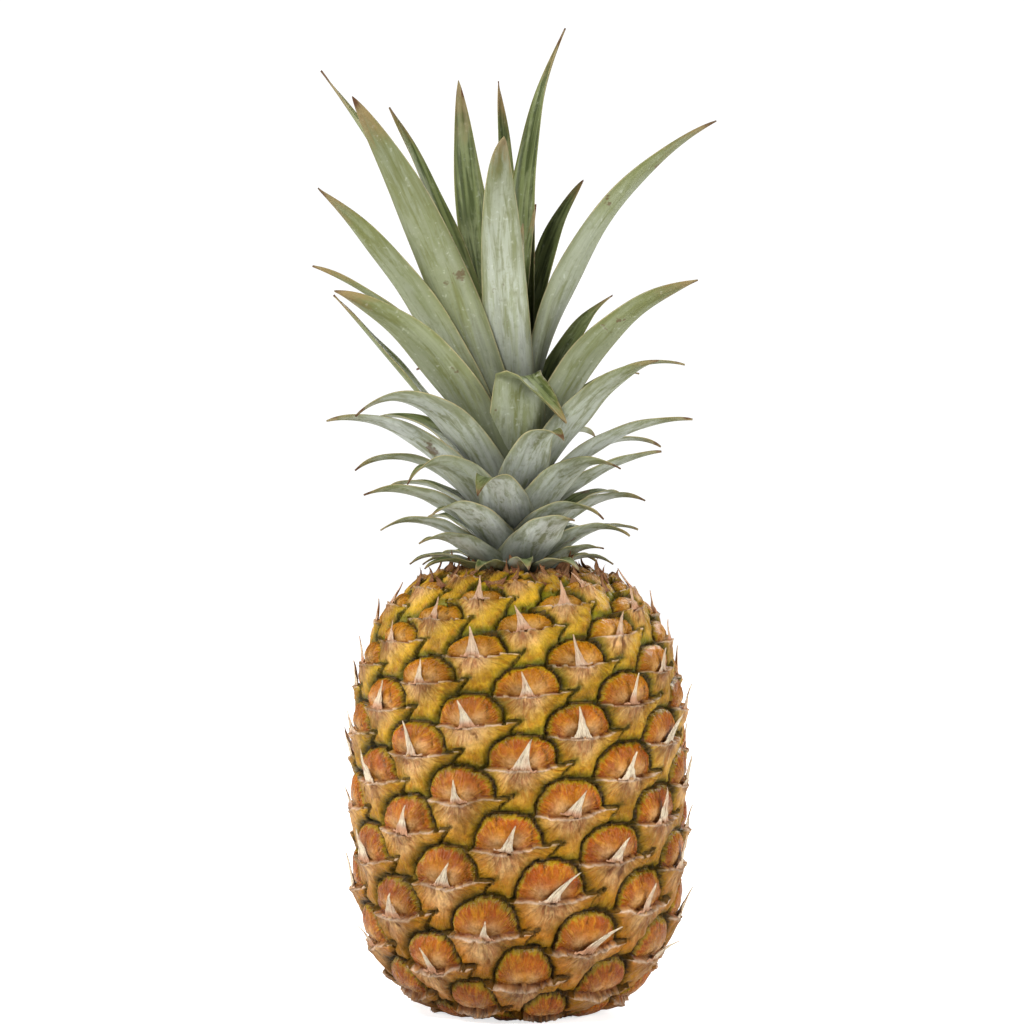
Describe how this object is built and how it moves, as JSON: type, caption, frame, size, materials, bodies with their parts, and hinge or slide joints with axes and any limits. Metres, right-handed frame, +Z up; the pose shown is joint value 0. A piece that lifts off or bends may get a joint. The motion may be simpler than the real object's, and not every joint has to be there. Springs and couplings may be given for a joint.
{
  "type": "pineapple",
  "caption": "Whole ripe pineapple standing upright, with a golden orange rind of spiral eyes and dry tips, and a tall crown of waxy grey-green leaves.",
  "frame": {"origin": "middle of the flat cut end of the stalk, on which the fruit stands", "axes": "+Z up the fruit from its base to its crown, and -Y towards the side that the picture shows"},
  "size_m": [0.1538, 0.1342, 0.3739],
  "materials": {
    "rind": "waxy golden orange rind, green in the grooves, with pale dry tips",
    "cut_stalk": "dry fibrous cut end",
    "crown_stem": "pale green stem with small leaves, dry and brown at its foot",
    "leaf": "waxy grey-green bloom over green, with thin tan edges and dry tips"
  },
  "bodies": {
    "root": {"fruit": "rind", "cut_stalk": "cut_stalk", "crown_stem": "crown_stem", "sword_leaf_front": "leaf", "sword_leaf_tall": "leaf", "sword_leaf_back_centre": "leaf", "sword_leaf_back_left": "leaf", "sword_leaf_broad": "leaf", "sword_leaf_left_behind": "leaf", "sword_leaf_left_inner": "leaf", "sword_leaf_back_short": "leaf", "sword_leaf_left_high": "leaf", "sword_leaf_left_dark": "leaf", "sword_leaf_left_low": "leaf", "sword_leaf_left_under": "leaf", "sword_leaf_right_arching": "leaf", "sword_leaf_right_broken": "leaf", "sword_leaf_right_low": "leaf", "sword_leaf_front_folded": "leaf", "sword_leaf_back_upright": "leaf", "sword_leaf_back_right": "leaf", "arching_leaf_01": "leaf", "arching_leaf_02": "leaf", "arching_leaf_03": "leaf", "arching_leaf_04": "leaf", "arching_leaf_05": "leaf", "arching_leaf_06": "leaf", "arching_leaf_07": "leaf", "arching_leaf_08": "leaf", "arching_leaf_09": "leaf", "arching_leaf_10": "leaf", "arching_leaf_11": "leaf", "arching_leaf_12": "leaf", "arching_leaf_13": "leaf", "arching_leaf_14": "leaf", "arching_leaf_15": "leaf", "arching_leaf_16": "leaf", "arching_leaf_17": "leaf", "arching_leaf_18": "leaf", "arching_leaf_19": "leaf", "arching_leaf_20": "leaf", "back_leaf_1a": "leaf", "back_leaf_1b": "leaf", "back_leaf_1c": "leaf", "back_leaf_2a": "leaf", "back_leaf_2b": "leaf", "back_leaf_2c": "leaf", "back_leaf_2d": "leaf", "back_leaf_3a": "leaf", "back_leaf_3b": "leaf", "back_leaf_3c": "leaf", "back_leaf_3d": "leaf", "back_leaf_4a": "leaf", "back_leaf_4b": "leaf", "back_leaf_4c": "leaf", "back_leaf_4d": "leaf"}
  },
  "joints": []
}
